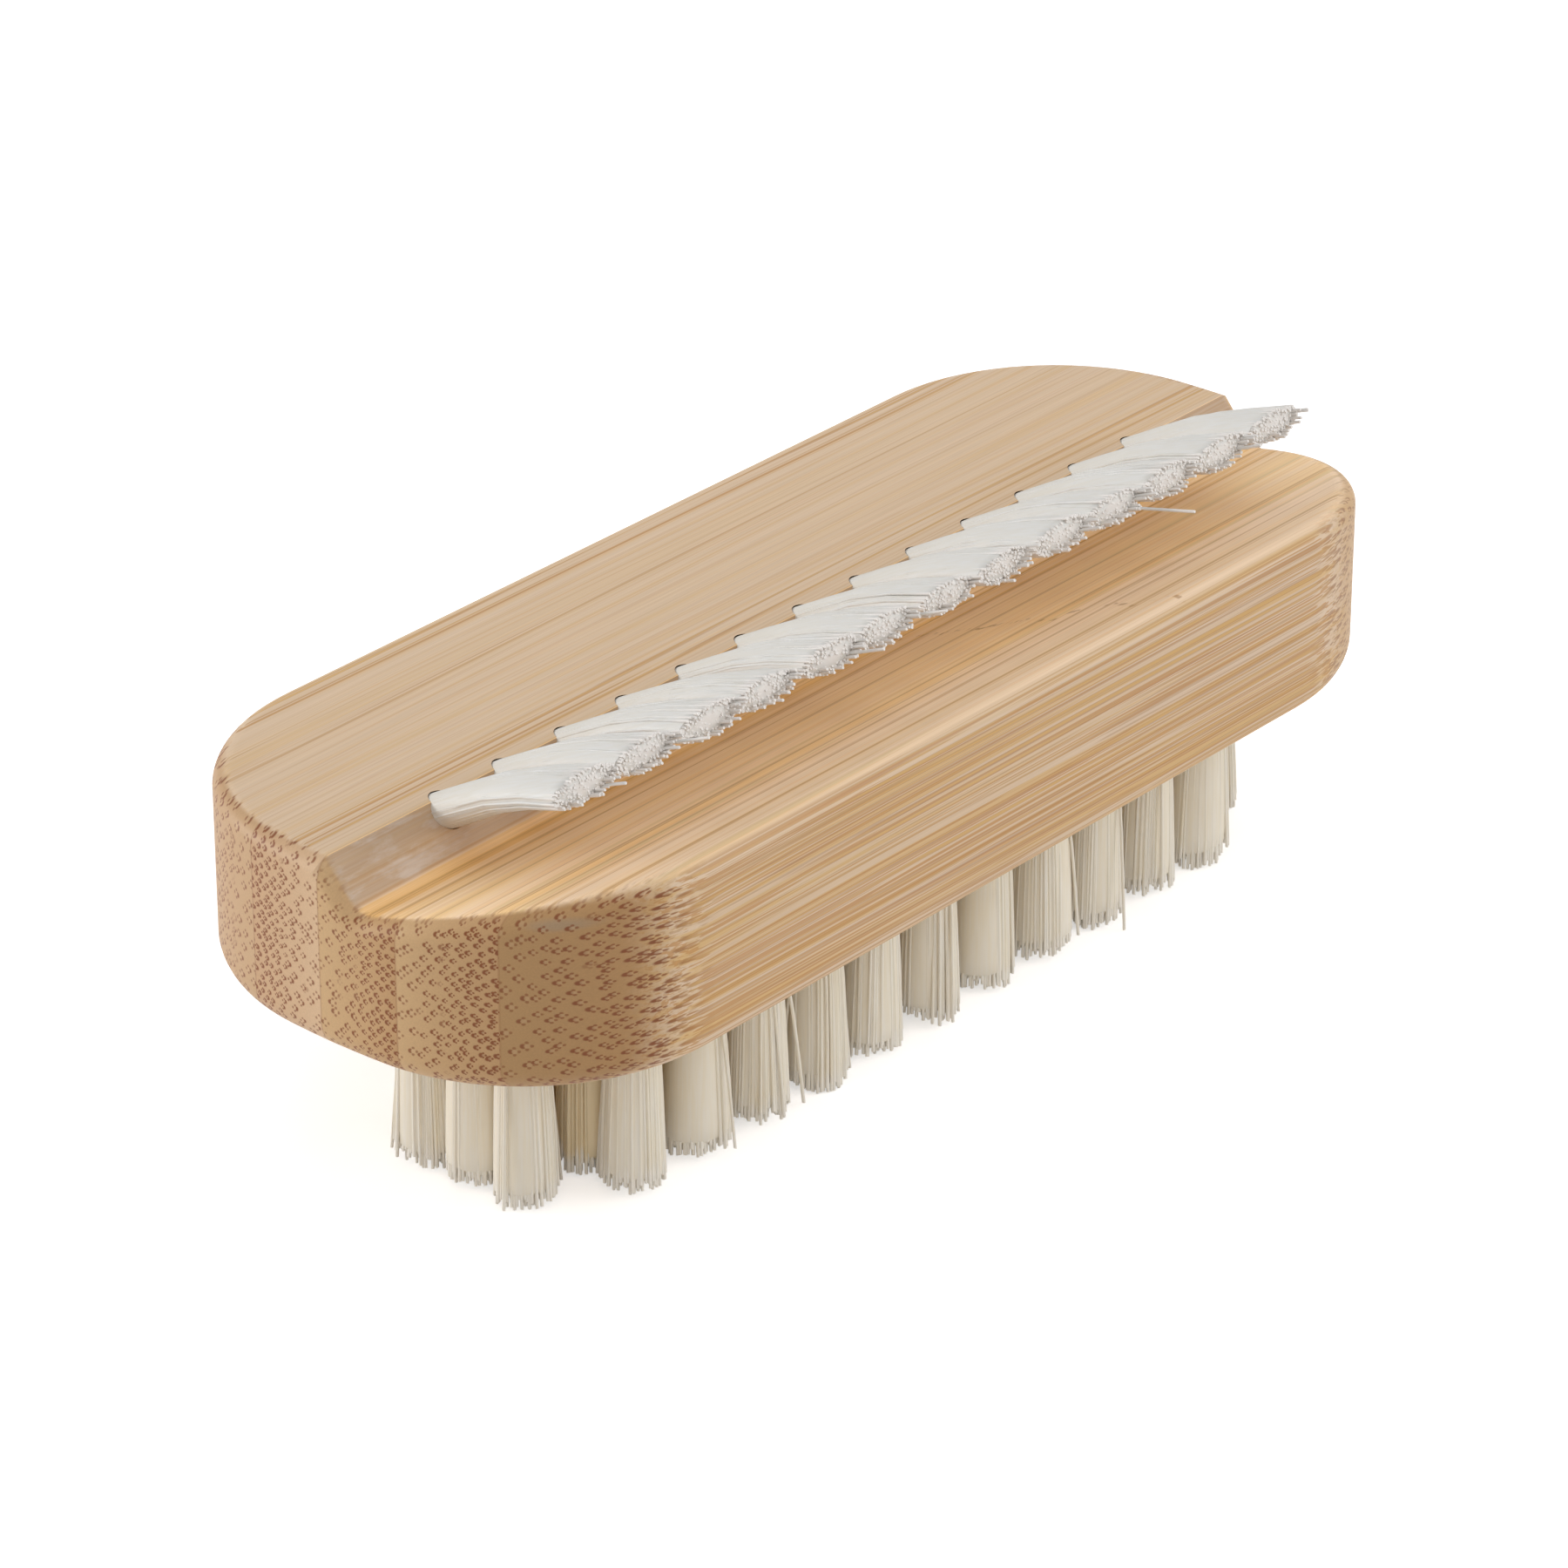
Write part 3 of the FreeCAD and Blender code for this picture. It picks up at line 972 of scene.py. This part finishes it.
def seen_by(finish, *rays):
    """1 for the kinds of ray named, and 0 for the light that falls on things."""
    return reduce(Wire.most, [finish.node("ShaderNodeLightPath", out=f"Is {ray} Ray") for ray in rays])


def make_floor():
    """White sweep: plain white to the camera, with the shadow left on it."""
    bpy.ops.object.select_all(action="DESELECT")
    bpy.ops.mesh.primitive_plane_add(size=floor_size)
    floor = bpy.context.object
    floor.name = "floor"
    finish = Finish(bpy.data.materials.new("floor_white"))
    seen = seen_by(finish, "Camera", "Glossy", "Transmission")
    glow = finish.mix(seen, colour(0, 0, 0), colour(floor_glow, floor_glow, floor_glow))
    white = colour(floor_white, floor_white, floor_white)
    floor.data.materials.append(finish.surface(
        Base_Color=white, Roughness=floor_roughness, Emission_Color=glow, Emission_Strength=1.0))


def make_world():
    """White all round, which is dimmer as a light than it looks."""
    finish = Finish(bpy.data.worlds.new("studio"), "Background")
    strength = seen_by(finish, "Camera", "Glossy").grade(world_light, 1 - world_light)
    bpy.context.scene.world = finish.surface(Color=colour(1, 1, 1), Strength=strength)


def camera_axes():
    """Unit vectors to the camera's right and back towards it."""
    cos_a, sin_a = math.cos(camera_azimuth), math.sin(camera_azimuth)
    cos_e, sin_e = math.cos(camera_elevation), math.sin(camera_elevation)
    return Vector((cos_a, sin_a, 0)), Vector((sin_a * cos_e, -cos_a * cos_e, sin_e))


def make_softboxes():
    right, back = camera_axes()
    ahead = Vector((-back.x, -back.y, 0)).normalized()
    rise = Vector((0, 0, 1))
    for name, (aside, away, height, width, depth, watts) in softboxes.items():
        lamp = bpy.data.lights.new(name, "AREA")
        lamp.shape = "RECTANGLE"
        lamp.size = width
        lamp.size_y = depth
        lamp.energy = watts
        holder = bpy.data.objects.new(name, lamp)
        bpy.context.collection.objects.link(holder)
        holder.location = right * aside + ahead * away + rise * height
        holder.rotation_mode = "QUATERNION"
        holder.rotation_quaternion = (softbox_aim - holder.location).to_track_quat("-Z", "Y")


def make_camera():
    right, back = camera_axes()
    up = back.cross(right)
    aim = Vector((0, 0, underside + camera_aim_height)) + right * camera_aim_right + up * camera_aim_up
    camera = bpy.data.cameras.new("camera")
    camera.lens = camera_lens
    camera.sensor_width = camera_sensor
    camera.clip_start = camera_clip
    holder = bpy.data.objects.new("camera", camera)
    bpy.context.collection.objects.link(holder)
    holder.location = aim + back * camera_distance
    holder.rotation_mode = "QUATERNION"
    holder.rotation_quaternion = (-back).to_track_quat("-Z", "Y")
    bpy.context.scene.camera = holder


dress_block()
make_scrub_field()
make_nail_row()
make_floor()
make_world()
make_softboxes()
make_camera()
bpy.context.scene.view_settings.view_transform = "Standard"
bpy.context.scene.cycles.diffuse_bounces = light_bounces
